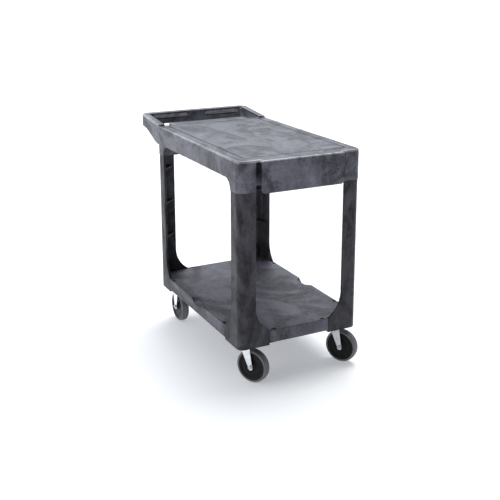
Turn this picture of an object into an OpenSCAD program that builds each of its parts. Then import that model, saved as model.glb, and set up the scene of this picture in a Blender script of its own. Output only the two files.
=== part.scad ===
// Two-shelf utility cart: moulded flat-shelf deck with a push handle, four angle legs,
// a lower shelf, two swivel casters at the front and two rigid casters at the handle end.
// Origin: on the floor, midway along and across the whole cart. +Y is the handle end.

/* [Overall size] */
// Width over the load deck
cart_w = 502; // [420:1:620]
// Length of the deck body, from its front face to the back of the rear legs
body_l = 772; // [620:1:1000]
// Height of the load deck above the floor
deck_h = 846; // [700:1:1050]

/* [Load deck] */
// Thickness of the moulded deck and skirt walls
wall = 6; // [4:0.5:9]
// Thickness of the deck plate
deck_t = 10; // [7:0.5:14]
// Depth of the side skirts below the deck
skirt_h = 74; // [50:1:100]
// Depth of the corner posts that the legs plug into
post_h = 115; // [90:1:150]
// Corner post size across the cart
post_x = 70; // [60:1:90]
// Corner post size along the cart
post_y = 67; // [60:1:90]
// Radius of the vertical corners
corner_r = 26; // [18:1:36]
// How far the deck runs on behind the rear legs
tail_l = 54; // [20:1:80]
// Width of that tail, between the handle arms
tail_w = 350; // [300:1:400]
// Distance of the groove line from the deck's sides and front
groove_in = 42; // [25:1:60]
// Distance of the groove line's rear end from the back of the rear legs
groove_rear_in = 20; // [10:1:60]
// Width of the groove line
groove_w = 3; // [2:0.5:5]
// Depth of the groove line
groove_d = 2; // [1:0.5:3]

/* [Front panel] */
// How far the front panel stands out
panel_out = 20; // [12:1:24]
// Width of the front panel
panel_w = 336; // [220:1:340]
// Depth of the front panel below the deck
panel_h = 118; // [80:1:130]
// Thickness of the front panel
panel_t = 8; // [5:0.5:10]
// Corner radius of the front panel
panel_r = 16; // [8:1:24]
// How far the wall behind the panel is set back
back_in = 55; // [40:1:60]

/* [Push handle] */
// How far the handle reaches behind the rear legs
handle_reach = 202; // [170:1:260]
// Height of the handle above the deck
handle_rise = 25; // [12:1:50]
// Depth of the grip bar, front to back
bar_d = 37; // [28:1:45]
// Distance from the deck down to the underside of the grip bar
bar_drop = 24; // [8:1:30]
// Width of each handle arm
arm_w = 30; // [24:1:45]
// Height of the arms' step above the deck
arm_step = 8; // [4:1:16]
// Radius of the handle's outer corners
handle_r = 40; // [20:1:50]
// Radius of the handle's inner corners
loop_r = 20; // [8:1:30]
// Half width of the plain block in the middle of the grip
grip_mid = 42; // [20:1:60]
// Distance of the finger pockets from the arms
pocket_in = 15; // [4:1:30]
// Depth of the finger pockets in the grip's inner face
pocket_d = 8; // [5:1:16]
// Height of the finger pockets
pocket_h = 22; // [14:1:26]

/* [Legs] */
// Thickness of the leg flanges
leg_t = 9; // [6:0.5:12]
// Step from the deck's side face in to the leg's
leg_step = 2; // [1:0.5:4]
// Length of the foot along the front and rear edges
foot_x = 126; // [100:1:160]
// Length of the front feet along the sides
foot_y_front = 122; // [100:1:160]
// Length of the rear feet along the sides
foot_y_rear = 104; // [95:1:160]
// Radius of the sweep from flange to foot
sweep_r = 112; // [90:1:150]
// Distance the feet hang below the caster plates
foot_drop = 9.5; // [6:0.5:14]
// Width of the turned-in lip under each foot
lip_w = 8; // [4:0.5:8]
// Thickness of that lip
lip_t = 4; // [2:0.5:5]
// Height of the tongue that plugs into the deck's post
tongue_h = 60; // [30:1:80]
// Number of stiffening webs inside each leg
web_count = 3; // [2:1:6]
// Height of the lowest web above the lower shelf
web_rise = 171; // [110:1:200]
// Distance of the highest web below the top of the leg
web_drop = 60; // [30:1:100]
// Thickness of each web
web_t = 5; // [3:0.5:8]
// Gap between moulded pieces that slide into each other
fit_gap = 0.4; // [0.3:0.1:0.8]

/* [Lower shelf] */
// Distance from the caster plates up to the shelf's top
shelf_rise = 48; // [36:1:70]
// Depth of the lower shelf's edge
shelf_edge = 49; // [40:1:70]
// Thickness of the pads that the casters bolt to
pad_t = 8; // [6:0.5:12]
// Length of the notch halfway along each side
notch_l = 104; // [60:1:140]
// Depth of that notch, in from the side
notch_in = 22; // [12:1:34]
// Height of that notch below the shelf's top
notch_h = 18; // [8:1:30]

/* [Casters] */
// Radius of the wheels
wheel_r = 63.5; // [50:0.5:76]
// Width of the tyres
tyre_w = 32; // [25:1:40]
// Thickness of the tyre on its hub
tyre_t = 9; // [6:0.5:14]
// Radius of the tyre's shoulders
shoulder_r = 4; // [2:0.5:6]
// Height of a caster, floor to the top of its plate
caster_h = 156; // [150:0.5:190]
// Mounting plate size across the cart
plate_x = 67; // [60:1:76]
// Mounting plate size along the cart
plate_y = 92; // [84:1:100]
// Thickness of the plate
plate_t = 3; // [2.5:0.5:5]
// Spacing of the plate's holes across the cart
hole_x = 45; // [40:1:56]
// Spacing of the plate's holes along the cart
hole_y = 76; // [72:1:82]
// Radius of the plate bolts
bolt_r = 4; // [3:0.5:5]
// Distance of the casters in from the sides
caster_in_x = 58; // [50:1:80]
// Distance of the swivel casters' pivots in from the front face
caster_in_front = 67; // [62:1:100]
// Distance of the rigid casters' axles in from the rear face
caster_in_rear = 73; // [62:1:110]
// Distance from the swivel's pivot back to its axle
trail = 35; // [20:1:45]
// Angle that the swivel casters rest at
swivel_rest = 31; // [0:1:60]
// Radius of the kingpin
kingpin_r = 6; // [5:0.5:8]
// Radius of the axle bolt
axle_r = 4; // [3:0.5:6]
// Outer radius of the sleeve that the wheel turns on
sleeve_r = 6.5; // [5.5:0.5:9]
// Running clearance of wheels and kingpins, on the radius
run_gap = 0.06; // [0.02:0.01:0.1]
// Thickness of the fork's sheet steel
fork_t = 3; // [2:0.5:4]
// Gap from the wheel's boss to each fork leg
fork_gap = 1; // [0.6:0.1:2]
// Radius of the fork leg's rounded end
fork_tip_r = 9.5; // [8:0.5:12]
// Radius of the bearing balls
ball_r = 3.2; // [2.5:0.1:4]
// Number of bearing balls
ball_count = 16; // [10:1:18]

/* [Hidden] */
$fn = 64;

// Sides: -1 is the left of the cart seen from its front end, +1 the right.
LEFT = -1;
RIGHT = 1;

// Heights
post_z = deck_h - post_h;
skirt_z = deck_h - skirt_h;
fillet_r = post_h - skirt_h;
foot_z = caster_h - foot_drop;
shelf_z = caster_h + shelf_rise;
shelf_under_z = shelf_z - wall;
edge_z = shelf_z - shelf_edge;
handle_z = deck_h + handle_rise;
bar_z = deck_h - bar_drop;

// Deck plan
bar_y = body_l + handle_reach - bar_d;
tail_y = body_l + tail_l;
deck_rib_h = 32;
rib_t = 4;

// Lower shelf plan, flush with the feet
foot_in = leg_step + leg_t;
seat_in = foot_in + fit_gap;
shelf_rib_z = edge_z + 9;
pad_margin = 8;
tab_l = 22;
tab_t = 2.6;
tab_h = 26;
window_l = 18;
window_w = 7;

// Caster stack, from the plate down
plate_z = caster_h - plate_t;
race_r = 27;
race_pitch = 21.5;
race_bottom = caster_h - 8.5;
race_space = 4;
crown_top = race_bottom - race_space;
crown_t = 4;
crown_z = crown_top - crown_t;
ball_z = race_bottom - race_space / 2;
ball_clear = 0.3;
crown_r = 28;
pin_head_r = kingpin_r + 4;
pin_foot_t = 5;

// Wheel, from the middle out
boss_r = 17;
hub_boss_w = tyre_w + 5;
fork_in = hub_boss_w / 2 + fork_gap;
fork_out = fork_in + fork_t;
hub_r = wheel_r - tyre_t;
tyre_gap = 0.1;
hub_rim_w = tyre_w - 2;
hub_web_w = tyre_w - 6;
hub_rim_t = 5;
bolt_gap = 0.2;
nut_r = axle_r * 1.85;
head_t = 5;
nut_t = 7;

// How far the turned front tyres reach ahead of the kingpins
tyre_front = (trail + wheel_r - shoulder_r) * cos(swivel_rest)
    + (tyre_w / 2 - shoulder_r) * sin(swivel_rest) + shoulder_r;
front_over = max(panel_out, tyre_front - caster_in_front);
front_y = -(front_over + body_l + handle_reach) / 2 + front_over;

// A rectangle with rounded front and rear corners, centred on X, running along +Y.
module rounded_plan(w, l, r_front, r_rear) {
    translate([-w / 2, r_front]) square([w, l - r_front - r_rear]);
    translate([-w / 2 + r_front, 0]) square([w - 2 * r_front, r_front + 1]);
    translate([-w / 2 + r_rear, l - r_rear - 1]) square([w - 2 * r_rear, r_rear + 1]);
    for (side = [LEFT, RIGHT]) {
        translate([side * (w / 2 - r_front), r_front]) circle(r_front);
        translate([side * (w / 2 - r_rear), l - r_rear]) circle(r_rear);
    }
}

// Turns a profile drawn along Y and Z into a plate t thick along +X.
module side_plate(t) {
    rotate([90, 0, 90]) linear_extrude(t) children();
}

// Turns a profile drawn along X and Z into a plate t thick along +Y.
module cross_plate(t) {
    translate([0, t, 0]) rotate([90, 0, 0]) linear_extrude(t) children();
}

// Places a piece at one corner: +X and +Y then run inwards from the corner.
module corner(side, rear) {
    translate([side * cart_w / 2, rear ? body_l : 0, 0])
        mirror([side > 0 ? 1 : 0, 0, 0]) mirror([0, rear ? 1 : 0, 0]) children();
}

// Arch profile between two posts: a band with rounded inner corners below it.
module arch(l, post) {
    difference() {
        translate([0, post_z]) square([l, post_h]);
        translate([post + fillet_r, post_z - 1]) square([l - 2 * (post + fillet_r), fillet_r + 1]);
        translate([post + fillet_r, post_z]) circle(fillet_r);
        translate([l - post - fillet_r, post_z]) circle(fillet_r);
    }
}

// Plan of a corner post, set in by d from its outer faces.
module post_plan(d, x, y) {
    r = corner_r - d;
    translate([d + r, d]) square([x - 2 * d - r, y - 2 * d]);
    translate([d, d + r]) square([r + 1, y - 2 * d - r]);
    translate([d + r, d + r]) circle(r);
}

// ---- Load deck ----

// The grip bar and both arms, as an outline along Y and Z.
module handle_outline() {
    step_in = 12;
    polygon([
        [body_l - wall, skirt_z], [body_l, skirt_z], [body_l + 25, skirt_z + 5],
        [body_l + 70, skirt_z + 25], [body_l + 121, skirt_z + 43], [bar_y, bar_z],
        [body_l + handle_reach, bar_z], [body_l + handle_reach, handle_z], [bar_y, handle_z],
        [body_l - step_in, deck_h + arm_step], [body_l - step_in, deck_h - wall],
        [body_l - wall, deck_h - wall]]);
}

module handle_arm(side) {
    arm_x = side < 0 ? -cart_w / 2 : cart_w / 2 - arm_w;
    translate([arm_x, 0, 0]) difference() {
        side_plate(arm_w) handle_outline();
        // the arm is an upside-down channel
        translate([wall, 0, 0]) side_plate(arm_w - 2 * wall) polygon([
            [body_l, skirt_z - 1], [bar_y - wall, skirt_z - 1],
            [bar_y - wall, handle_z - 2 * wall], [body_l, deck_h - wall]]);
    }
    // the side face runs on over the rounded corner of the post
    translate([side < 0 ? -cart_w / 2 : cart_w / 2 - wall, 0, 0]) side_plate(wall)
        translate([body_l - corner_r, skirt_z]) square([corner_r, deck_h - skirt_z]);
}

module grip_bar() {
    difference() {
        translate([-cart_w / 2, bar_y, bar_z]) cube([cart_w, bar_d, handle_z - bar_z]);
        // finger pockets with round ends in the inner face
        for (side = [LEFT, RIGHT]) {
            pocket_end = cart_w / 2 - arm_w - pocket_in - pocket_h / 2;
            pocket_start = grip_mid + pocket_h / 2;
            pocket_mid = (bar_z + handle_z) / 2 + 4;
            translate([side < 0 ? -pocket_end : pocket_start, bar_y - 1, pocket_mid - pocket_h / 2])
                cube([pocket_end - pocket_start, pocket_d + 1, pocket_h]);
            for (x = [pocket_start, pocket_end])
                translate([side * x, bar_y + pocket_d, pocket_mid]) rotate([90, 0, 0])
                    cylinder(r = pocket_h / 2, h = pocket_d + 1);
        }
    }
}

module handle() {
    intersection() {
        union() {
            handle_arm(LEFT);
            handle_arm(RIGHT);
            grip_bar();
            // rounded inner corners of the loop
            for (side = [LEFT, RIGHT]) mirror([side > 0 ? 1 : 0, 0, 0])
                translate([-cart_w / 2 + arm_w - 1, bar_y + 1 - loop_r, bar_z])
                    linear_extrude(handle_z - bar_z - wall) difference() {
                        square(loop_r);
                        translate([loop_r, 0]) circle(loop_r);
                    }
        }
        translate([0, 0, skirt_z - 2]) linear_extrude(handle_z - skirt_z + 4)
            rounded_plan(cart_w, body_l + handle_reach, corner_r, handle_r);
    }
}

module front_panel() {
    panel_plan_r = 10;
    // face of the panel
    translate([0, -panel_out, 0]) cross_plate(panel_t) {
        translate([-panel_w / 2, deck_h - panel_h + panel_r]) square([panel_w, panel_h - panel_r]);
        translate([-panel_w / 2 + panel_r, deck_h - panel_h]) square([panel_w - 2 * panel_r, panel_r + 1]);
        for (side = [LEFT, RIGHT])
            translate([side * (panel_w / 2 - panel_r), deck_h - panel_h + panel_r]) circle(panel_r);
    }
    // the deck runs out over the panel
    translate([-panel_w / 2, -panel_out + panel_t - 1, deck_h - deck_t])
        cube([panel_w, panel_out - panel_t + corner_r, deck_t]);
    // webs that tie the panel to the wall behind it
    web_span = panel_w / 2 - 50;
    for (i = [-2 : 2])
        translate([i * web_span / 2 - rib_t / 2, -panel_out + panel_t - 1, deck_h - panel_h + 12])
            cube([rib_t, panel_out + back_in - panel_t + 2, panel_h - 12]);
}

module corner_post() {
    difference() {
        translate([0, 0, post_z]) linear_extrude(post_h) post_plan(0, post_x, post_y);
        translate([0, 0, post_z - 1]) linear_extrude(post_h - wall + 1) post_plan(wall, post_x, post_y);
    }
}

module deck_ribs() {
    z = deck_h - deck_rib_h;
    inner_w = cart_w - 2 * wall;
    for (x = [-cart_w / 4, 0, cart_w / 4])
        translate([x - rib_t / 2, back_in, z]) cube([rib_t, tail_y - back_in - wall, deck_rib_h]);
    rib_step = (body_l - 2 * post_y) / 6;
    for (i = [0 : 6])
        translate([-inner_w / 2, post_y + i * rib_step - rib_t / 2, z]) cube([inner_w, rib_t, deck_rib_h]);
}

module top_shelf() color([0.27, 0.27, 0.29]) translate([0, front_y, 0]) difference() {
    union() {
        // deck plate
        translate([0, 0, deck_h - deck_t]) linear_extrude(deck_t) {
            rounded_plan(cart_w, body_l, corner_r, 1);
            translate([-tail_w / 2, body_l - 1]) square([tail_w, tail_l + 1]);
        }
        // side skirts
        for (x = [-cart_w / 2, cart_w / 2 - wall])
            translate([x, 0, 0]) side_plate(wall) intersection() {
                arch(body_l, post_y);
                translate([corner_r, 0]) square([body_l - 2 * corner_r, deck_h]);
            }
        // rear skirt
        translate([-cart_w / 2, body_l - wall, 0]) cross_plate(wall) intersection() {
            arch(cart_w, post_x);
            translate([corner_r, 0]) square([cart_w - 2 * corner_r, deck_h]);
        }
        // wall set back behind the front panel
        translate([-cart_w / 2 + post_x - 1, back_in, post_z + 10])
            cube([cart_w - 2 * post_x + 2, wall, post_h - 10]);
        // edges of the tail between the handle arms
        translate([-tail_w / 2, tail_y - wall, deck_h - deck_rib_h]) cube([tail_w, wall, deck_rib_h]);
        for (x = [-tail_w / 2, tail_w / 2 - wall])
            translate([x, body_l - 1, deck_h - deck_rib_h]) cube([wall, tail_l, deck_rib_h]);
        for (side = [LEFT, RIGHT]) for (rear = [false, true]) corner(side, rear) corner_post();
        front_panel();
        deck_ribs();
        handle();
    }
    // groove line around the load area
    ring_w = cart_w - 2 * groove_in;
    ring_l = body_l - groove_in - groove_rear_in;
    ring_r = 12;
    translate([0, groove_in, deck_h - groove_d]) linear_extrude(groove_d + 1) difference() {
        rounded_plan(ring_w, ring_l, ring_r, ring_r);
        translate([0, groove_w])
            rounded_plan(ring_w - 2 * groove_w, ring_l - 2 * groove_w, ring_r - groove_w, ring_r - groove_w);
    }
}

// ---- Legs ----

// Height at which a flange starts to sweep out to its foot.
function sweep_z(grow) = shelf_z + sqrt(pow(sweep_r, 2) - pow(sweep_r - grow, 2));

// A flange drawn along its own length: straight leg, swept foot.
module flange(leg_w, foot_w) {
    grow = foot_w - leg_w;
    difference() {
        translate([leg_step, foot_z]) square([foot_w - leg_step, sweep_z(grow) - foot_z]);
        translate([leg_w + sweep_r, sweep_z(grow)]) circle(sweep_r, $fn = 128);
    }
    translate([leg_step, foot_z]) square([leg_w - leg_step, post_z - foot_z]);
}

// Plan of an angle with legs x and y long, its outside set in by a and its inside by b.
module angle_plan(a, b, x, y) {
    inner_r = max(corner_r - b, 1);
    difference() {
        post_plan(a, x + a, y + a);
        translate([b + inner_r, b]) square([x, y]);
        translate([b, b + inner_r]) square([x, y]);
        translate([b + inner_r, b + inner_r]) circle(inner_r);
    }
}

module leg(foot_y) {
    // the sweeps are cut from one angle, so the corner keeps its radius all the way down
    intersection() {
        translate([0, 0, foot_z]) linear_extrude(post_z - foot_z)
            angle_plan(leg_step, foot_in, foot_x, foot_y);
        union() {
            cross_plate(foot_in) flange(post_x, foot_x);
            side_plate(foot_in) flange(post_y, foot_y);
            translate([0, 0, foot_z]) cube([corner_r, corner_r, post_z - foot_z]);
        }
    }
    // tongue inside the deck's post
    tongue_in = wall + fit_gap;
    translate([0, 0, post_z]) linear_extrude(tongue_h)
        angle_plan(tongue_in, foot_in, post_x - tongue_in, post_y - tongue_in);
    // webs across the inside of the angle
    web_z = shelf_z + web_rise;
    web_step = (post_z - web_drop - web_z) / (web_count - 1);
    web_in = 8;
    for (i = [0 : web_count - 1])
        translate([0, 0, web_z + i * web_step]) linear_extrude(web_t)
            polygon([[foot_in - 1, foot_in - 1], [post_x - web_in, foot_in - 1],
                [post_x - web_in, foot_in + 3], [foot_in + 3, post_y - web_in],
                [foot_in - 1, post_y - web_in]]);
    // lip turned in under the lower shelf
    translate([0, 0, foot_z]) linear_extrude(lip_t)
        angle_plan(foot_in - 1, foot_in + lip_w, foot_x, foot_y);
    // locking tabs that reach behind the lower shelf's edge
    tab_in = leg_step + wall + fit_gap;
    translate([foot_x - 4, tab_in, shelf_under_z - tab_h - 4]) cube([tab_l + 4, tab_t, tab_h]);
    translate([tab_in, foot_y - 4, shelf_under_z - tab_h - 4]) cube([tab_t, tab_l + 4, tab_h]);
}

module placed_leg(side, rear)
    color([0.2, 0.2, 0.21]) translate([0, front_y, 0])
        corner(side, rear) leg(rear ? foot_y_rear : foot_y_front);

module leg_front_left() { placed_leg(LEFT, false); }
module leg_front_right() { placed_leg(RIGHT, false); }
module leg_rear_left() { placed_leg(LEFT, true); }
module leg_rear_right() { placed_leg(RIGHT, true); }

// ---- Lower shelf ----

// Plan of the lower shelf set in by d, with its corners stepped in behind the feet.
module shelf_plan(d) {
    step = leg_step + d;
    difference() {
        translate([-cart_w / 2 + step, step]) square([cart_w - 2 * step, body_l - 2 * step]);
        for (side = [LEFT, RIGHT]) for (rear = [false, true]) {
            foot_y = rear ? foot_y_rear : foot_y_front;
            corner(side, rear) {
                translate([-1, -1]) square([foot_x + fit_gap + d + 1, seat_in + d + 1]);
                translate([-1, -1]) square([seat_in + d + 1, foot_y + fit_gap + d + 1]);
                // rounds the seat's corner like the inside of the foot
                difference() {
                    translate([-1, -1]) square([corner_r + 1, corner_r + 1]);
                    translate([corner_r, corner_r]) circle(max(corner_r - seat_in - d, 1));
                    translate([corner_r, seat_in + d]) square([corner_r, corner_r]);
                    translate([seat_in + d, corner_r]) square([corner_r, corner_r]);
                }
            }
        }
    }
}

// One notch: narrower towards its back, with a floor that slopes down to the side.
module side_notch() {
    slope = notch_in;
    intersection() {
        translate([0, notch_l / 2 + 1, 0]) rotate([90, 0, 0]) linear_extrude(notch_l + 2) polygon([
            [-1, shelf_z + 1], [notch_in, shelf_z + 1], [notch_in, shelf_z - 2],
            [0, shelf_z - notch_h], [-1, shelf_z - notch_h]]);
        translate([0, 0, shelf_z - notch_h]) linear_extrude(notch_h + 1) polygon([
            [-1, -notch_l / 2 - 1], [notch_in, -notch_l / 2 + slope],
            [notch_in, notch_l / 2 - slope], [-1, notch_l / 2 + 1]]);
        translate([-1, 0, 0]) side_plate(notch_in + 1) polygon([
            [-notch_l / 2 - 1, shelf_z + 1], [-notch_l / 2 + slope, shelf_z - notch_h],
            [notch_l / 2 - slope, shelf_z - notch_h], [notch_l / 2 + 1, shelf_z + 1]]);
    }
}

function caster_y(rear) = rear ? body_l - caster_in_rear : caster_in_front;

module caster_pad(rear) {
    y = rear ? caster_in_rear : caster_in_front;
    pad_x = plate_x + 2 * pad_margin;
    pad_y = plate_y + 2 * pad_margin;
    // the pad stays clear of the foot's rounded inner corner
    pad_in = corner_r - (corner_r - seat_in) * 0.7;
    x0 = max(caster_in_x - pad_x / 2, pad_in);
    y0 = max(y - pad_y / 2, pad_in);
    translate([x0, y0, caster_h]) cube([caster_in_x + pad_x / 2 - x0, y + pad_y / 2 - y0, pad_t]);
    // walls that carry the pad up to the shelf
    for (x = [caster_in_x - 9, caster_in_x + 5])
        translate([x, y0, caster_h]) cube([rib_t, y + pad_y / 2 - y0, shelf_rise - 1]);
    translate([x0, y - rib_t / 2, caster_h]) cube([caster_in_x + pad_x / 2 - x0, rib_t, shelf_rise - 1]);
    translate([caster_in_x + pad_x / 2 - rib_t, y0, caster_h])
        cube([rib_t, y + pad_y / 2 - y0, shelf_rise - 1]);
    translate([x0, y + pad_y / 2 - rib_t, caster_h])
        cube([caster_in_x + pad_x / 2 - x0, rib_t, shelf_rise - 1]);
}

module shelf_ribs() {
    h = shelf_z - shelf_rib_z - 1;
    edge_in = leg_step + wall - 1;
    seat_end = seat_in + wall - 1;
    for (x = [-cart_w / 4, cart_w / 4])
        translate([x - rib_t / 2, seat_end, shelf_rib_z]) cube([rib_t, body_l - 2 * seat_end, h]);
    translate([-rib_t / 2, edge_in, shelf_rib_z]) cube([rib_t, body_l - 2 * edge_in, h]);
    // cross ribs between the front and rear feet
    first_y = foot_y_front + wall;
    last_y = body_l - caster_in_rear - plate_y / 2 - pad_margin;
    for (i = [0 : 5])
        translate([-cart_w / 2 + edge_in, first_y + i * (last_y - first_y) / 5, shelf_rib_z])
            cube([cart_w - 2 * edge_in, rib_t, h]);
}

module bottom_shelf() color([0.3, 0.3, 0.32]) translate([0, front_y, 0]) difference() {
    union() {
        translate([0, 0, shelf_under_z]) linear_extrude(wall) shelf_plan(0);
        translate([0, 0, edge_z]) linear_extrude(shelf_edge) difference() {
            shelf_plan(0);
            shelf_plan(wall);
        }
        shelf_ribs();
        for (side = [LEFT, RIGHT]) {
            for (rear = [false, true]) corner(side, rear) caster_pad(rear);
            // pocket walls around the notch
            translate([side * (cart_w / 2 - (notch_in + 2 * wall) / 2 - leg_step), body_l / 2, 0])
                translate([-(notch_in + 2 * wall) / 2, -notch_l / 2, shelf_z - notch_h - wall])
                    cube([notch_in + 2 * wall, notch_l, notch_h + wall]);
        }
    }
    for (side = [LEFT, RIGHT]) {
        translate([side * (cart_w / 2 - leg_step), body_l / 2, 0])
            mirror([side > 0 ? 1 : 0, 0, 0]) side_notch();
        for (rear = [false, true]) {
            foot_y = rear ? foot_y_rear : foot_y_front;
            tab_z = shelf_under_z - tab_h - 4 - fit_gap;
            tab_in = leg_step + wall;
            corner(side, rear) {
                // passages for the feet's locking tabs
                translate([foot_x - 1, tab_in, tab_z])
                    cube([tab_l + 3, tab_t + 2 * fit_gap, tab_h + 2 * fit_gap]);
                translate([tab_in, foot_y - 1, tab_z])
                    cube([tab_t + 2 * fit_gap, tab_l + 3, tab_h + 2 * fit_gap]);
                // release windows above the tabs
                translate([foot_x + 12, tab_in + 1, shelf_under_z - 1])
                    cube([window_l, window_w, wall + 2]);
                translate([tab_in + 1, foot_y + 12, shelf_under_z - 1])
                    cube([window_w, window_l, wall + 2]);
                // bolt holes in the caster pads
                translate([caster_in_x, rear ? caster_in_rear : caster_in_front, 0])
                    plate_holes(caster_h - 1, pad_t + 2);
            }
        }
    }
}

// ---- Casters ----

// The four bolt holes of a mounting plate.
module plate_holes(z, h) {
    for (x = [-1, 1]) for (y = [-1, 1])
        translate([x * hole_x / 2, y * hole_y / 2, z]) cylinder(r = bolt_r + bolt_gap, h = h);
}

module plate_blank() {
    r = 8;
    translate([0, -plate_y / 2, plate_z]) linear_extrude(plate_t)
        rounded_plan(plate_x, plate_y, r, r);
}

// Puts a piece at a caster's mounting point, square to the cart.
module at_plate(side, rear) {
    translate([side * (cart_w / 2 - caster_in_x), front_y + caster_y(rear), 0]) children();
}

// Puts a piece in a caster's own frame: the axle lies behind the origin along -Y.
module at_fork(side, rear) {
    at_plate(side, rear) rotate([0, 0, rear ? 0 : swivel_rest]) children();
}

// Puts a piece on a caster's axle, turned so that its Z runs along the axle.
module at_axle(side, rear) {
    at_fork(side, rear) translate([0, rear ? 0 : -trail, wheel_r]) rotate([0, 90, 0]) children();
}

module ball_groove() {
    rotate_extrude() translate([race_pitch, ball_z]) circle(ball_r + ball_clear, $fn = 32);
}

module swivel_plate() {
    difference() {
        union() {
            plate_blank();
            translate([0, 0, race_bottom]) cylinder(r = race_r, h = caster_h - race_bottom);
        }
        plate_holes(plate_z - 1, plate_t + 2);
        ball_groove();
        translate([0, 0, race_bottom - 1]) cylinder(r = kingpin_r + bolt_gap, h = caster_h);
        translate([0, 0, plate_z - bolt_gap]) cylinder(r = pin_head_r + bolt_gap, h = plate_t + 1);
    }
}

module kingpin() {
    translate([0, 0, plate_z]) cylinder(r = pin_head_r, h = plate_t);
    translate([0, 0, crown_z - pin_foot_t]) cylinder(r = kingpin_r, h = plate_z - crown_z + pin_foot_t);
    translate([0, 0, crown_z - pin_foot_t]) cylinder(r = kingpin_r + 3.5, h = pin_foot_t - ball_clear);
}

module swivel_balls() {
    for (i = [0 : ball_count - 1])
        rotate([0, 0, i * 360 / ball_count]) translate([race_pitch, 0, ball_z])
            sphere(ball_r, $fn = 24);
}

// Fork leg outline along Y and Z: wide at the top, round below the axle.
module leg_outline(y_back, y_front, top, axle_y) {
    tip_z = wheel_r - 3.5;
    translate([axle_y, tip_z]) circle(fork_tip_r);
    polygon([[y_back, top], [y_front, top], [axle_y + fork_tip_r * 0.98, tip_z + 2],
        [axle_y, tip_z], [axle_y - fork_tip_r * 0.98, tip_z + 2]]);
}

module fork_legs(y_back, y_front, top, axle_y) {
    difference() {
        for (x = [-fork_out, fork_in])
            translate([x, 0, 0]) side_plate(fork_t) leg_outline(y_back, y_front, top, axle_y);
        translate([-fork_out - 1, axle_y, wheel_r]) rotate([0, 90, 0])
            cylinder(r = axle_r + bolt_gap, h = 2 * fork_out + 2);
    }
}

module swivel_fork() {
    back = -trail + 4;
    front = 10;
    fork_legs(back, front, crown_z + 1, -trail);
    difference() {
        union() {
            translate([0, 0, crown_z]) cylinder(r = crown_r, h = crown_t);
            translate([-fork_out, back, crown_z]) cube([2 * fork_out, front - back, fork_t]);
        }
        ball_groove();
        translate([0, 0, crown_z - 1]) cylinder(r = kingpin_r + run_gap, h = crown_t + 2);
    }
}

module rigid_fork() {
    fork_legs(-30, 30, plate_z + 1, 0);
    difference() {
        plate_blank();
        plate_holes(plate_z - 1, plate_t + 2);
    }
}

module axle_bolt() {
    translate([0, 0, -fork_out - head_t]) cylinder(r = nut_r, h = head_t, $fn = 6);
    translate([0, 0, -fork_out - 1]) cylinder(r = axle_r, h = 2 * fork_out + nut_t + 3);
}

module axle_nut() {
    translate([0, 0, fork_out]) difference() {
        cylinder(r = nut_r, h = nut_t, $fn = 6);
        translate([0, 0, -1]) cylinder(r = axle_r + 0.05, h = nut_t + 2);
    }
}

module axle_sleeve() {
    l = 2 * (fork_in - bolt_gap);
    translate([0, 0, -l / 2]) difference() {
        cylinder(r = sleeve_r, h = l);
        translate([0, 0, -1]) cylinder(r = axle_r + bolt_gap, h = l + 2);
    }
}

module wheel_hub() {
    rotate_extrude($fn = 128) {
        translate([sleeve_r + run_gap, -hub_boss_w / 2]) square([boss_r - sleeve_r - run_gap, hub_boss_w]);
        translate([boss_r - 1, -hub_web_w / 2]) square([hub_r - boss_r, hub_web_w]);
        translate([hub_r - hub_rim_t, -hub_rim_w / 2]) square([hub_rim_t, hub_rim_w]);
    }
}

module tyre() {
    inner = hub_r + tyre_gap;
    rotate_extrude($fn = 128) {
        translate([inner, -tyre_w / 2]) square([wheel_r - inner - shoulder_r, tyre_w]);
        translate([inner, -tyre_w / 2 + shoulder_r]) square([wheel_r - inner, tyre_w - 2 * shoulder_r]);
        for (end = [-1, 1])
            translate([wheel_r - shoulder_r, end * (tyre_w / 2 - shoulder_r)]) circle(shoulder_r);
    }
}

module plate_bolts() {
    for (x = [-1, 1]) for (y = [-1, 1]) translate([x * hole_x / 2, y * hole_y / 2, 0]) {
        translate([0, 0, plate_z - head_t]) cylinder(r = bolt_r * 1.8, h = head_t, $fn = 6);
        translate([0, 0, plate_z - 1]) cylinder(r = bolt_r, h = plate_t + pad_t + nut_t + 3);
    }
}

module plate_nuts() {
    for (x = [-1, 1]) for (y = [-1, 1])
        translate([x * hole_x / 2, y * hole_y / 2, caster_h + pad_t]) difference() {
            cylinder(r = bolt_r * 1.8, h = nut_t, $fn = 6);
            translate([0, 0, -1]) cylinder(r = bolt_r + 0.05, h = nut_t + 2);
        }
}

steel = [0.8, 0.81, 0.83];
bolt_steel = [0.62, 0.63, 0.64];
hub_black = [0.09, 0.1, 0.1];
tyre_grey = [0.4, 0.4, 0.41];

module swivel_plate_left() { color(steel) at_plate(LEFT, false) swivel_plate(); }
module swivel_plate_right() { color(steel) at_plate(RIGHT, false) swivel_plate(); }
module kingpin_left() { color(bolt_steel) at_plate(LEFT, false) kingpin(); }
module kingpin_right() { color(bolt_steel) at_plate(RIGHT, false) kingpin(); }
module swivel_balls_left() { color(steel) at_plate(LEFT, false) swivel_balls(); }
module swivel_balls_right() { color(steel) at_plate(RIGHT, false) swivel_balls(); }
module swivel_fork_left() { color(steel) at_fork(LEFT, false) swivel_fork(); }
module swivel_fork_right() { color(steel) at_fork(RIGHT, false) swivel_fork(); }
module rigid_fork_left() { color(steel) at_fork(LEFT, true) rigid_fork(); }
module rigid_fork_right() { color(steel) at_fork(RIGHT, true) rigid_fork(); }

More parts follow.
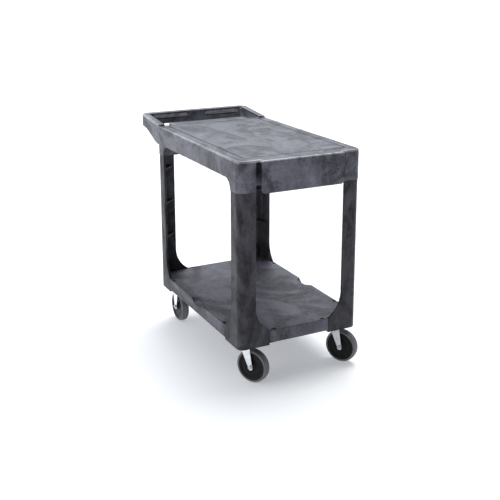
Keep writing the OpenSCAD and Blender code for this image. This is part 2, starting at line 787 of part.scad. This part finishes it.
module axle_bolt_front_left() { color(bolt_steel) at_axle(LEFT, false) axle_bolt(); }
module axle_bolt_front_right() { color(bolt_steel) at_axle(RIGHT, false) axle_bolt(); }
module axle_bolt_rear_left() { color(bolt_steel) at_axle(LEFT, true) axle_bolt(); }
module axle_bolt_rear_right() { color(bolt_steel) at_axle(RIGHT, true) axle_bolt(); }
module axle_nut_front_left() { color(bolt_steel) at_axle(LEFT, false) axle_nut(); }
module axle_nut_front_right() { color(bolt_steel) at_axle(RIGHT, false) axle_nut(); }
module axle_nut_rear_left() { color(bolt_steel) at_axle(LEFT, true) axle_nut(); }
module axle_nut_rear_right() { color(bolt_steel) at_axle(RIGHT, true) axle_nut(); }
module axle_sleeve_front_left() { color(bolt_steel) at_axle(LEFT, false) axle_sleeve(); }
module axle_sleeve_front_right() { color(bolt_steel) at_axle(RIGHT, false) axle_sleeve(); }
module axle_sleeve_rear_left() { color(bolt_steel) at_axle(LEFT, true) axle_sleeve(); }
module axle_sleeve_rear_right() { color(bolt_steel) at_axle(RIGHT, true) axle_sleeve(); }
module wheel_hub_front_left() { color(hub_black) at_axle(LEFT, false) wheel_hub(); }
module wheel_hub_front_right() { color(hub_black) at_axle(RIGHT, false) wheel_hub(); }
module wheel_hub_rear_left() { color(hub_black) at_axle(LEFT, true) wheel_hub(); }
module wheel_hub_rear_right() { color(hub_black) at_axle(RIGHT, true) wheel_hub(); }
module tyre_front_left() { color(tyre_grey) at_axle(LEFT, false) tyre(); }
module tyre_front_right() { color(tyre_grey) at_axle(RIGHT, false) tyre(); }
module tyre_rear_left() { color(tyre_grey) at_axle(LEFT, true) tyre(); }
module tyre_rear_right() { color(tyre_grey) at_axle(RIGHT, true) tyre(); }
module plate_bolts_front_left() { color(bolt_steel) at_plate(LEFT, false) plate_bolts(); }
module plate_bolts_front_right() { color(bolt_steel) at_plate(RIGHT, false) plate_bolts(); }
module plate_bolts_rear_left() { color(bolt_steel) at_plate(LEFT, true) plate_bolts(); }
module plate_bolts_rear_right() { color(bolt_steel) at_plate(RIGHT, true) plate_bolts(); }
module plate_nuts_front_left() { color(bolt_steel) at_plate(LEFT, false) plate_nuts(); }
module plate_nuts_front_right() { color(bolt_steel) at_plate(RIGHT, false) plate_nuts(); }
module plate_nuts_rear_left() { color(bolt_steel) at_plate(LEFT, true) plate_nuts(); }
module plate_nuts_rear_right() { color(bolt_steel) at_plate(RIGHT, true) plate_nuts(); }

top_shelf();
bottom_shelf();
leg_front_left();
leg_front_right();
leg_rear_left();
leg_rear_right();
swivel_plate_left();
swivel_plate_right();
kingpin_left();
kingpin_right();
swivel_balls_left();
swivel_balls_right();
swivel_fork_left();
swivel_fork_right();
rigid_fork_left();
rigid_fork_right();
axle_bolt_front_left();
axle_bolt_front_right();
axle_bolt_rear_left();
axle_bolt_rear_right();
axle_nut_front_left();
axle_nut_front_right();
axle_nut_rear_left();
axle_nut_rear_right();
axle_sleeve_front_left();
axle_sleeve_front_right();
axle_sleeve_rear_left();
axle_sleeve_rear_right();
wheel_hub_front_left();
wheel_hub_front_right();
wheel_hub_rear_left();
wheel_hub_rear_right();
tyre_front_left();
tyre_front_right();
tyre_rear_left();
tyre_rear_right();
plate_bolts_front_left();
plate_bolts_front_right();
plate_bolts_rear_left();
plate_bolts_rear_right();
plate_nuts_front_left();
plate_nuts_front_right();
plate_nuts_rear_left();
plate_nuts_rear_right();
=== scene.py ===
import math

import bmesh
import bpy
from mathutils import Matrix, Vector


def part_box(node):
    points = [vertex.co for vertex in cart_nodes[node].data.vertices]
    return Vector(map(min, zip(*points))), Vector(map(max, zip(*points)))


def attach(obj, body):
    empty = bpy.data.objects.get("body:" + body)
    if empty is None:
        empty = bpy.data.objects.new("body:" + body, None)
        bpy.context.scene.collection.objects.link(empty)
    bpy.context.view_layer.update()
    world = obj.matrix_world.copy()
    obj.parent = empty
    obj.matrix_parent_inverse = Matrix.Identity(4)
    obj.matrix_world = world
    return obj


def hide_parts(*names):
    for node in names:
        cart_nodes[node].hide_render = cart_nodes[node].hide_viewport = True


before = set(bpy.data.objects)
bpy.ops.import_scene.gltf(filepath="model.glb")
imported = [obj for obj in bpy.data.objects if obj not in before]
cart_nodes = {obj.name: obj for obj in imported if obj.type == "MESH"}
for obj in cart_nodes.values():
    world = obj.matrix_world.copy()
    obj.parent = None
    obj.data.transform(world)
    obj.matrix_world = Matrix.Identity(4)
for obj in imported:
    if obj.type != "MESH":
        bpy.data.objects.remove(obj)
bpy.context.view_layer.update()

MM = 0.001


# ---- Studio ----
# A plain pale floor, a wide soft light above the rear right corner and a weaker one at the left.
# The camera stands off the front left corner, a little above the deck.
def deselect():
    if bpy.context.object and bpy.context.object.mode != "OBJECT":
        bpy.ops.object.mode_set(mode="OBJECT")
    bpy.ops.object.select_all(action="DESELECT")


deselect()
bpy.ops.mesh.primitive_plane_add(size=40, location=(0, 0, 0))
floor = bpy.context.object
floor.name = "studio_floor"
floor_paint = bpy.data.materials.new("floor_paint")
floor_paint.use_nodes = True
floor_shader = floor_paint.node_tree.nodes["Principled BSDF"]
floor_shader.inputs["Base Color"].default_value = (0.84, 0.845, 0.86, 1)
floor_shader.inputs["Roughness"].default_value = 0.9
floor_shader.inputs["Specular IOR Level"].default_value = 0.1
floor_shader.inputs["Emission Color"].default_value = (0.93, 0.96, 1, 1)
floor_shader.inputs["Emission Strength"].default_value = 0.32
floor.data.materials.append(floor_paint)

studio = bpy.data.worlds.new("studio")
bpy.context.scene.world = studio
studio.use_nodes = True
sky = studio.node_tree
backdrop = sky.nodes["Background"]
backdrop.inputs["Color"].default_value = (1, 1, 1, 1)
backdrop.inputs["Strength"].default_value = 1.1
room = sky.nodes.new("ShaderNodeBackground")
room.inputs["Color"].default_value = (0.9, 0.945, 1.0, 1)
where = sky.nodes.new("ShaderNodeTexCoord")
split = sky.nodes.new("ShaderNodeSeparateXYZ")
glow = sky.nodes.new("ShaderNodeMapRange")
glow.inputs["From Min"].default_value = -0.3
glow.inputs["From Max"].default_value = 0.9
glow.inputs["To Min"].default_value = 0.2
glow.inputs["To Max"].default_value = 1.25
sky.links.new(where.outputs["Generated"], split.inputs["Vector"])
sky.links.new(split.outputs["Y"], glow.inputs["Value"])
sky.links.new(glow.outputs["Result"], room.inputs["Strength"])
seen = sky.nodes.new("ShaderNodeLightPath")
either = sky.nodes.new("ShaderNodeMixShader")
sky.links.new(seen.outputs["Is Camera Ray"], either.inputs["Fac"])
sky.links.new(room.outputs["Background"], either.inputs[1])
sky.links.new(backdrop.outputs["Background"], either.inputs[2])
sky.links.new(either.outputs["Shader"], sky.nodes["World Output"].inputs["Surface"])


def studio_light(name, kind, place, aim, strength, colour):
    light = bpy.data.lights.new(name, kind)
    light.energy = strength
    light.color = colour
    holder = bpy.data.objects.new(name, light)
    bpy.context.scene.collection.objects.link(holder)
    holder.location = place
    holder.rotation_euler = (Vector(place) - Vector(aim)).to_track_quat("Z", "Y").to_euler()
    return light


key = studio_light("overhead", "SUN", (1.0, 0.9, 3.0), (0, 0, 0), 2.3, (1.0, 0.995, 0.98))
key.angle = math.radians(38)
fill = studio_light("left_fill", "AREA", (-3.4, -0.6, 1.5), (0, 0, 0.5), 26, (1.0, 0.97, 0.92))
fill.size = 1.6

lens = bpy.data.cameras.new("camera")
lens.sensor_width = 36
lens.lens = 62.3
lens.shift_x = -0.0108
lens.shift_y = -0.125
camera = bpy.data.objects.new("camera", lens)
bpy.context.scene.collection.objects.link(camera)
camera.location = (-1.5067, -3.0509, 1.4922)
camera.rotation_euler = (math.radians(75.62), 0, math.radians(-27.16))
bpy.context.scene.camera = camera
bpy.context.scene.view_settings.view_transform = "Standard"


# ---- Load deck ----
# One foam moulding: flat deck, side skirts that arch down into four corner posts, a panel
# standing out at the front and the push handle at the rear. Charcoal plastic with pale swirls.
def moulding(node, name):
    """A copy of a CAD node with its corners joined up, ready to have its edges rounded."""
    piece = bpy.data.objects.new(name, cart_nodes[node].data.copy())
    bpy.context.scene.collection.objects.link(piece)
    piece.data.materials.clear()
    deselect()
    piece.select_set(True)
    bpy.context.view_layer.objects.active = piece
    bpy.ops.object.mode_set(mode="EDIT")
    bpy.ops.mesh.select_all(action="SELECT")
    bpy.ops.mesh.remove_doubles(threshold=0.00002)
    bpy.ops.mesh.customdata_custom_splitnormals_clear()
    bpy.ops.mesh.dissolve_limited(angle_limit=math.radians(0.6))
    bpy.ops.object.mode_set(mode="OBJECT")
    return piece


def round_edges(piece, radius_at, segments=3, rim=-1):
    """Rounds sharp edges; radius_at gives each edge's radius in mm from its middle and its run.
    rim is the material slot of the rounded faces, or -1 to keep their neighbours'."""
    deselect()
    piece.select_set(True)
    bpy.context.view_layer.objects.active = piece
    bpy.ops.mesh.customdata_custom_splitnormals_clear()
    shell = bmesh.new()
    shell.from_mesh(piece.data)
    weight = shell.edges.layers.float.get("bevel_weight_edge") or shell.edges.layers.float.new(
        "bevel_weight_edge")
    radii = {}
    for edge in shell.edges:
        if len(edge.link_faces) != 2 or edge.calc_face_angle(0) < math.radians(28):
            continue
        middle = (edge.verts[0].co + edge.verts[1].co) / 2 / MM
        run = (edge.verts[1].co - edge.verts[0].co).normalized()
        radii[edge] = radius_at(middle, run, edge)
    widest = max(radii.values())
    for edge in shell.edges:
        edge[weight] = radii.get(edge, 0) / widest
    shell.to_mesh(piece.data)
    shell.free()
    bevel = piece.modifiers.new("edges", "BEVEL")
    bevel.limit_method = "WEIGHT"
    bevel.width = widest * MM
    bevel.segments = segments
    bevel.use_clamp_overlap = False
    bevel.miter_outer = "MITER_SHARP"
    bevel.loop_slide = False
    bevel.material = rim
    bpy.ops.object.modifier_apply(modifier="edges")
    bpy.ops.object.shade_smooth_by_angle(angle=math.radians(40))
    even = piece.modifiers.new("flats", "WEIGHTED_NORMAL")
    even.weight = 100
    even.keep_sharp = True
    bpy.ops.object.modifier_apply(modifier="flats")


def foam_plastic(name, dark, pale, swirl, stretch, gloss, shine, drift=0.5):
    """Structural foam: dark plastic with pale flow marks and a fine pitted skin."""
    paint = bpy.data.materials.new(name)
    paint.use_nodes = True
    tree = paint.node_tree
    shader = tree.nodes["Principled BSDF"]
    link = tree.links.new

    def node(kind, **settings):
        made = tree.nodes.new("ShaderNode" + kind)
        for key, value in settings.items():
            setattr(made, key, value)
        return made

    def noise(scale, detail, warp, feed, rough=0.55):
        made = node("TexNoise")
        made.inputs["Scale"].default_value = scale
        made.inputs["Detail"].default_value = detail
        made.inputs["Distortion"].default_value = warp
        made.inputs["Roughness"].default_value = rough
        link(feed, made.inputs["Vector"])
        return made.outputs["Fac"]

    def ramp(feed, *stops):
        made = node("ValToRGB")
        band = made.color_ramp
        band.elements[0].position, band.elements[1].position = stops[0][0], stops[-1][0]
        for place, shade in stops[1:-1]:
            band.elements.new(place)
        for element, (place, shade) in zip(band.elements, stops):
            element.position = place
            element.color = (shade, shade, shade, 1)
        link(feed, made.inputs["Fac"])
        return made.outputs["Color"]

    def mix(factor, one, two, blend="MIX"):
        made = node("Mix", data_type="RGBA", blend_type=blend)
        for socket, value in ((0, factor), (6, one), (7, two)):
            if isinstance(value, (int, float)):
                made.inputs[socket].default_value = value
            elif isinstance(value, tuple):
                made.inputs[socket].default_value = (*value, 1)
            else:
                link(value, made.inputs[socket])
        return made.outputs[2]

    place = node("TexCoord").outputs["Object"]
    grain = node("Mapping")
    grain.inputs["Scale"].default_value = stretch
    link(place, grain.inputs["Vector"])
    flow = grain.outputs["Vector"]
    smoke = ramp(noise(swirl, 7, 1.8, flow, 0.6), (0.38, 0.0), (0.52, 0.35), (0.66, 1.0))
    veins = ramp(noise(swirl * 1.7, 10, 4.0, flow, 0.65), (0.46, 0.0), (0.5, 0.8), (0.54, 0.0))
    blots = ramp(noise(swirl * 0.5, 5, 2.2, flow), (0.42, 0.0), (0.54, 0.8), (0.64, 1.0))
    threads = ramp(noise(swirl * 0.9, 5, 3.2, flow, 0.5), (0.485, 1.0), (0.5, 0.4), (0.515, 1.0))
    marks = mix(drift, smoke, blots)
    marks = mix(0.5, marks, veins, "SCREEN")
    streaks = node("Mapping")
    streaks.inputs["Scale"].default_value = (1, 3, 1)
    link(place, streaks.inputs["Vector"])
    flecks = ramp(noise(38, 5, 1.2, streaks.outputs["Vector"], 0.7), (0.5, 0.0), (0.72, 1.0))
    marks = mix(0.35, marks, flecks, "SCREEN")
    colour = mix(0.5, mix(marks, dark, pale), threads, "MULTIPLY")
    fine = noise(700, 4, 0.0, place)
    colour = mix(0.35, colour, ramp(fine, (0.3, 0.15), (0.7, 0.85)), "OVERLAY")
    link(colour, shader.inputs["Base Color"])
    sheen = ramp(noise(swirl * 3, 5, 1.0, flow), (0.3, gloss - 0.07), (0.7, gloss + 0.1))
    sheen = mix(0.5, sheen, ramp(noise(70, 5, 0.8, streaks.outputs["Vector"], 0.7),
                                 (0.35, gloss - 0.16), (0.65, gloss + 0.2)))
    sheen = mix(0.35, sheen, ramp(blots, (0.0, gloss + 0.22), (1.0, gloss - 0.1)))
    link(sheen, shader.inputs["Roughness"])
    skin = node("Bump")
    skin.inputs["Strength"].default_value = 0.4
    skin.inputs["Distance"].default_value = 0.001
    pits = mix(0.5, ramp(noise(420, 4, 0.2, place), (0.25, 0.0), (0.75, 1.0)),
               ramp(noise(85, 5, 0.6, place, 0.65), (0.3, 0.0), (0.7, 1.0)))
    link(pits, skin.inputs["Height"])
    link(skin.outputs["Normal"], shader.inputs["Normal"])
    shader.inputs["Specular IOR Level"].default_value = shine
    return paint


deck_top = 846
handle_top = 871
bar_face = 462
pocket_depth = 8
pocket_reach = 212
groove_depth = 2
groove_span = 232
outer_side, outer_front, outer_rear = 244, -446, 286
rim_round, grip_round, skirt_round, groove_round, slight_round = 8, 7, 2, 0.7, 0.6
loop_round, pocket_round = 4.5, 1.5
wide = 4  # rounds above this are made first and take the paler rim material, a painted highlight along the edges


def deck_radius(middle, run, edge):
    level = abs(run.z) < 0.3
    if abs(middle.z - deck_top) < 1 and level:
        lowest = min(face.calc_center_median().z for face in edge.link_faces) / MM
        return groove_round if lowest > deck_top - groove_depth - 0.5 else rim_round
    if middle.z > deck_top + 1:
        if (abs(middle.y - bar_face) < pocket_depth + 1 and abs(middle.x) < pocket_reach
                and middle.z < handle_top - 3):
            return pocket_round
        outside = abs(middle.x) > outer_side or middle.y > bar_face + 18
        return 0 if not level else grip_round if outside else loop_round
    if middle.y > outer_rear - 16 and middle.z > deck_top - 86:
        return slight_round
    outside = abs(middle.x) > outer_side or not outer_front < middle.y < outer_rear
    return skirt_round if outside and middle.z < deck_top - 30 else slight_round


deck = moulding("top_shelf", "load_deck")
deck_foam = foam_plastic(
    "deck_foam", (0.010, 0.010, 0.0145), (0.15, 0.152, 0.195), 11, (1, 0.8, 1), 0.32, 0.35)
# the rim material is paler and glossier than the deck: a painted highlight on the wide rounded edges
deck_rim_highlight = foam_plastic(
    "deck_rim_highlight", (0.09, 0.09, 0.1), (0.5, 0.5, 0.55), 11, (1, 0.8, 1), 0.26, 0.8)
# near-black material for the groove faces: painted shade in the groove
deck_groove_shade = foam_plastic(
    "deck_groove_shade", (0.002, 0.002, 0.003), (0.02, 0.02, 0.026), 11, (1, 0.8, 1), 0.5, 0.1)
for paint in (deck_foam, deck_rim_highlight, deck_groove_shade):
    deck.data.materials.append(paint)
highlight_slot, groove_shade_slot = 1, 2


def wide_rounds(*place):
    radius = deck_radius(*place)
    return radius if radius > wide else 0


def small_rounds(*place):
    radius = deck_radius(*place)
    return radius if radius < wide else 0


round_edges(deck, wide_rounds, 4, highlight_slot)
round_edges(deck, small_rounds)
# painted shade darkens the groove line, and a painted highlight makes the finger pockets pale
for face in deck.data.polygons:
    x, y, z = face.center / MM
    painted_groove_shade = (deck_top - groove_depth - 0.5 < z < deck_top - 0.2
                 and abs(x) < groove_span and outer_front - 9 < y < outer_rear - 1)
    # painted highlight: the recessed finger pockets take the paler rim material instead of sitting in
    # shade
    painted_pocket_light = (deck_top - 10 < z < deck_top + 16
                 and bar_face + 0.5 < y < bar_face + pocket_depth + 1 and abs(x) < pocket_reach + 3)
    if painted_groove_shade:
        face.material_index = groove_shade_slot
    elif painted_pocket_light:
        face.material_index = highlight_slot
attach(deck, "cart")
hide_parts("top_shelf")

# ---- Legs ----
# Four angle-section foam mouldings. Each plugs into a corner post and sweeps out at its
# foot, which snaps round a corner of the lower shelf.
leg_foam = foam_plastic(
    "leg_foam", (0.004, 0.004, 0.0055), (0.07, 0.068, 0.082), 11, (1.3, 1.3, 0.6), 0.4, 0.18, 0.4)
leg_round = 1.8
for corner in ("front_left", "front_right", "rear_left", "rear_right"):
    leg = moulding("leg_" + corner, "angle_leg_" + corner)
    round_edges(leg, lambda middle, run, edge: leg_round)
    leg.data.materials.append(leg_foam)
    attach(leg, "cart")
    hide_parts("leg_" + corner)

# ---- Lower shelf ----
# A flat foam tray turned upside down, notched halfway along both sides, with release
# windows beside each foot and pads below for the casters.
shelf_top = 204
shelf_rim_round, shelf_corner_round, shelf_edge_round = 3, 1.2, 0.8


def shelf_radius(middle, run, edge):
    if abs(middle.z - shelf_top) < 1:
        return shelf_corner_round if abs(run.z) > 0.3 else shelf_rim_round
    return shelf_edge_round


shelf = moulding("bottom_shelf", "lower_shelf")
round_edges(shelf, shelf_radius)
shelf_foam = foam_plastic(
    "shelf_foam", (0.0115, 0.011, 0.016), (0.14, 0.136, 0.18), 7, (1, 0.7, 1), 0.4, 0.28)
shelf.data.materials.append(shelf_foam)
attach(shelf, "cart")
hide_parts("bottom_shelf")


# ---- Caster plates and forks ----
# Pressed steel sheet, plated with bright zinc: plates bolted under the shelf, swivelling
# forks at the front on a ring of balls and fixed forks at the handle end.
def plated_steel(name, shade, rough, streak):
    paint = bpy.data.materials.new(name)
    paint.use_nodes = True
    tree = paint.node_tree
    shader = tree.nodes["Principled BSDF"]
    shader.inputs["Metallic"].default_value = 1.0
    place = tree.nodes.new("ShaderNodeTexCoord")
    cloud = tree.nodes.new("ShaderNodeTexNoise")
    cloud.inputs["Scale"].default_value = streak
    cloud.inputs["Detail"].default_value = 5
    tree.links.new(place.outputs["Object"], cloud.inputs["Vector"])
    tone = tree.nodes.new("ShaderNodeValToRGB")
    tone.color_ramp.elements[0].position = 0.3
    tone.color_ramp.elements[0].color = (*(0.82 * c for c in shade), 1)
    tone.color_ramp.elements[1].position = 0.7
    tone.color_ramp.elements[1].color = (*shade, 1)
    tree.links.new(cloud.outputs["Fac"], tone.inputs["Fac"])
    tree.links.new(tone.outputs["Color"], shader.inputs["Base Color"])
    wear = tree.nodes.new("ShaderNodeMapRange")
    wear.inputs["To Min"].default_value = rough - 0.08
    wear.inputs["To Max"].default_value = rough + 0.1
    tree.links.new(cloud.outputs["Fac"], wear.inputs["Value"])
    tree.links.new(wear.outputs["Result"], shader.inputs["Roughness"])
    scratch = tree.nodes.new("ShaderNodeBump")
    scratch.inputs["Strength"].default_value = 0.08
    scratch.inputs["Distance"].default_value = 0.0003
    tree.links.new(cloud.outputs["Fac"], scratch.inputs["Height"])
    tree.links.new(scratch.outputs["Normal"], shader.inputs["Normal"])
    return paint


bright_zinc = plated_steel("bright_zinc", (0.93, 0.94, 0.96), 0.33, 45)
sheet_round = 0.7
for side in ("left", "right"):
    for end in ("swivel", "rigid"):
        fork = moulding(f"{end}_fork_{side}", f"{end}_caster_fork_{side}")
        round_edges(fork, lambda middle, run, edge: sheet_round, 2)
        fork.data.materials.append(bright_zinc)
        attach(fork, "swivel_" + side if end == "swivel" else "cart")
        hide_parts(f"{end}_fork_{side}")
    for part in ("swivel_plate_", "swivel_balls_"):
        cart_nodes[part + side].data.materials.clear()
        cart_nodes[part + side].data.materials.append(bright_zinc)

# ---- Axles, kingpins, bolts and nuts ----
# Plated fasteners, a little duller than the forks.
dull_zinc = plated_steel("dull_zinc", (0.6, 0.6, 0.6), 0.42, 80)
for node_name, cad_node in cart_nodes.items():
    if node_name.startswith(("axle_", "kingpin_", "plate_bolts_", "plate_nuts_")):
        cad_node.data.materials.clear()
        cad_node.data.materials.append(dull_zinc)

# ---- Wheels ----
# Near-black moulded hub with a raised boss and ring, and a grey rubber tyre moulded over it.

def moulded_wheel(name, shade, rough, grime):
    paint = bpy.data.materials.new(name)
    paint.use_nodes = True
    tree = paint.node_tree
    shader = tree.nodes["Principled BSDF"]
    place = tree.nodes.new("ShaderNodeTexCoord")
    cloud = tree.nodes.new("ShaderNodeTexNoise")
    cloud.inputs["Scale"].default_value = 40
    cloud.inputs["Detail"].default_value = 8
    tree.links.new(place.outputs["Object"], cloud.inputs["Vector"])
    tone = tree.nodes.new("ShaderNodeValToRGB")
    tone.color_ramp.elements[0].position = 0.35
    tone.color_ramp.elements[0].color = (*(grime * c for c in shade), 1)
    tone.color_ramp.elements[1].position = 0.65
    tone.color_ramp.elements[1].color = (*shade, 1)
    tree.links.new(cloud.outputs["Fac"], tone.inputs["Fac"])
    tree.links.new(tone.outputs["Color"], shader.inputs["Base Color"])
    wear = tree.nodes.new("ShaderNodeMapRange")
    wear.inputs["To Min"].default_value = rough - 0.08
    wear.inputs["To Max"].default_value = rough + 0.1
    tree.links.new(cloud.outputs["Fac"], wear.inputs["Value"])
    tree.links.new(wear.outputs["Result"], shader.inputs["Roughness"])
    return paint


tyre_rubber = moulded_wheel("tyre_rubber", (0.16, 0.16, 0.165), 0.55, 0.72)
hub_plastic = moulded_wheel("hub_plastic", (0.004, 0.005, 0.005), 0.4, 0.7)
hub_plastic.node_tree.nodes["Principled BSDF"].inputs["Specular IOR Level"].default_value = 0.2


def turned(name, profile):
    """Spins a closed profile of (radius, along the axle) points in mm round an axle along X."""
    deselect()
    bpy.ops.mesh.primitive_circle_add(vertices=len(profile), radius=0.05, location=(0, 0, 0))
    piece = bpy.context.object
    piece.name = name
    for corner, (radius, along) in zip(piece.data.vertices, profile):
        corner.co = (along * MM, 0, radius * MM)
    bpy.ops.object.mode_set(mode="EDIT")
    bpy.ops.mesh.select_all(action="SELECT")
    bpy.ops.mesh.spin(steps=96, angle=2 * math.pi, center=(0, 0, 0), axis=(1, 0, 0))
    bpy.ops.mesh.select_all(action="SELECT")
    bpy.ops.mesh.remove_doubles(threshold=0.00001)
    bpy.ops.mesh.normals_make_consistent(inside=False)
    bpy.ops.object.mode_set(mode="OBJECT")
    bpy.ops.object.shade_smooth_by_angle(angle=math.radians(35))
    return piece


def both_sides(half):
    """A wheel profile from its right half, given from the bore outwards."""
    return half + [(radius, -along) for radius, along in reversed(half)]


tyre_profile = both_sides([
    (54.1, 14.6), (55, 15.6), (57, 16), (58.6, 15.8), (60.4, 15), (61.9, 13.4), (62.9, 11.2),
    (63.3, 8.5), (63.5, 4), (63.5, 1.2), (63.3, 0.5)])
hub_profile = both_sides([
    (6.56, 18.3), (6.9, 18.5), (9.5, 18.5), (10, 18.1), (10.4, 16.4), (15.2, 16), (16.6, 15.4),
    (17.4, 13.4), (18.4, 12.6), (30, 12.4), (31, 12.9), (33, 12.9), (34, 12.4), (45.6, 12.2), (47.4, 13),
    (49, 14.6), (50.2, 15), (52.8, 15), (54, 14.2)])
tyre = turned("tyre_pattern", tyre_profile)
tyre.data.materials.append(tyre_rubber)
hub = turned("hub_pattern", hub_profile)
hub.data.materials.append(hub_plastic)
swivel_turn = math.radians(31)
for end, turn in (("front", swivel_turn), ("rear", 0)):
    for side in ("left", "right"):
        name = f"{end}_{side}"
        low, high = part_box("tyre_" + name)
        centre = [(a + b) / 2 for a, b in zip(low, high)]
        for node, pattern, made_of in (
                ("tyre_" + name, tyre, "tyre_rubber"), ("wheel_hub_" + name, hub, "hub_plastic")):
            piece = bpy.data.objects.new("turned_" + node, pattern.data.copy())
            bpy.context.scene.collection.objects.link(piece)
            piece.data.transform(Matrix.Translation(centre) @ Matrix.Rotation(turn, 4, "Z"))
            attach(piece, "wheel_" + name)
            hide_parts(node)
for pattern in (tyre, hub):
    bpy.data.objects.remove(pattern)
